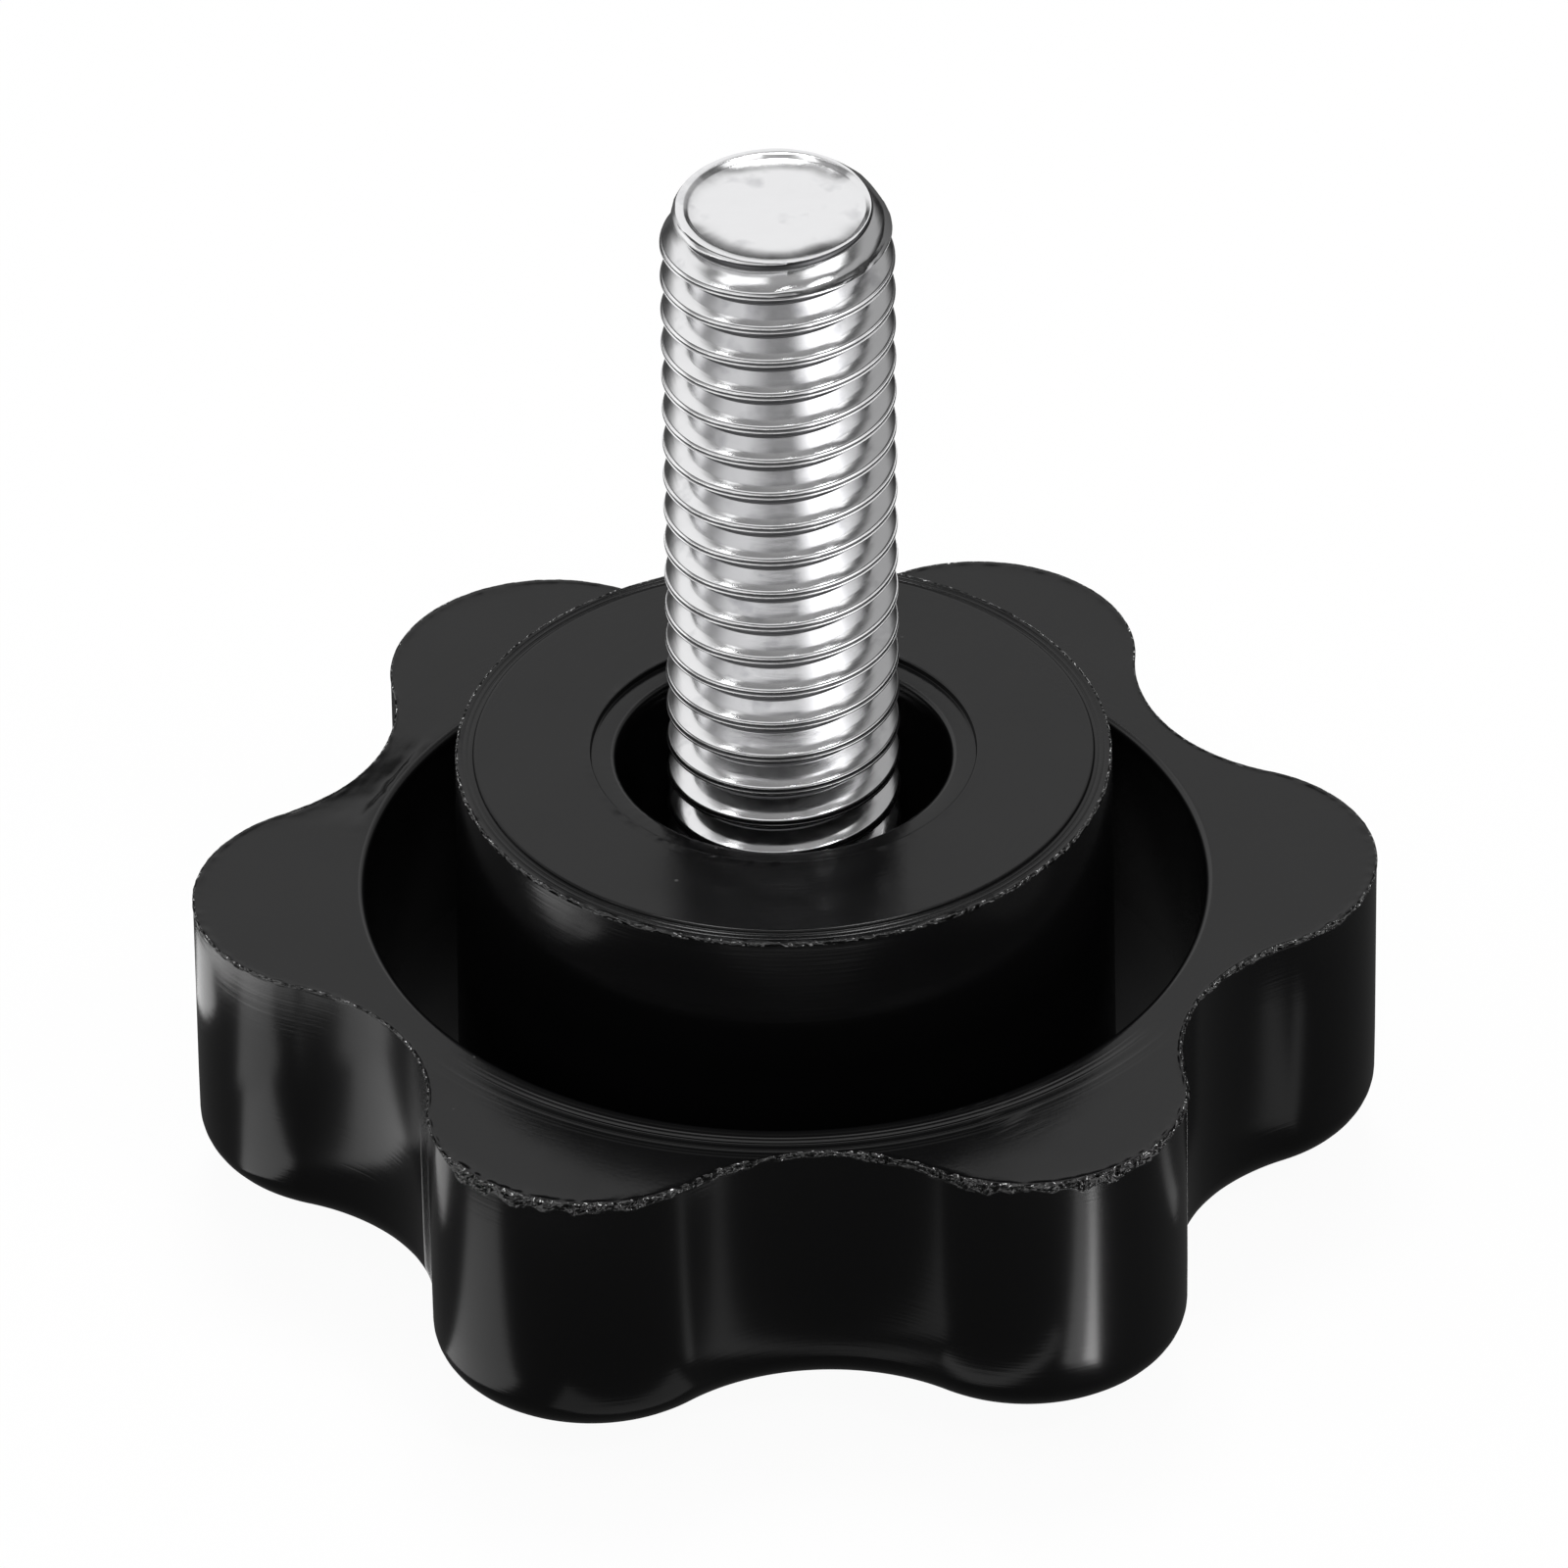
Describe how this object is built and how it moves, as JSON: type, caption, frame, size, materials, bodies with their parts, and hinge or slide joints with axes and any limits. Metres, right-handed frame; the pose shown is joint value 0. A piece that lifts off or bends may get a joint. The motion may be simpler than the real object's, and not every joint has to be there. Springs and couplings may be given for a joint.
{
  "type": "star knob",
  "caption": "Star-shaped hand knob in black plastic with a domed palm side, a cored underside and a threaded steel stud for clamping.",
  "frame": {"origin": "middle of the dome's flat crown, which is the lowest face and the centre of the base of the knob's box", "axes": "+Z along the stud, from the dome to the stud's tip; +X towards the first lobe"},
  "size_m": [0.0476, 0.043, 0.0461],
  "materials": {
    "black_plastic": "moulded, glossy on the side walls and satin on the flat faces",
    "plated_steel": "rolled thread with bright zinc plate"
  },
  "bodies": {
    "root": {"knob_body": "black_plastic", "threaded_stud": "plated_steel"}
  },
  "joints": []
}
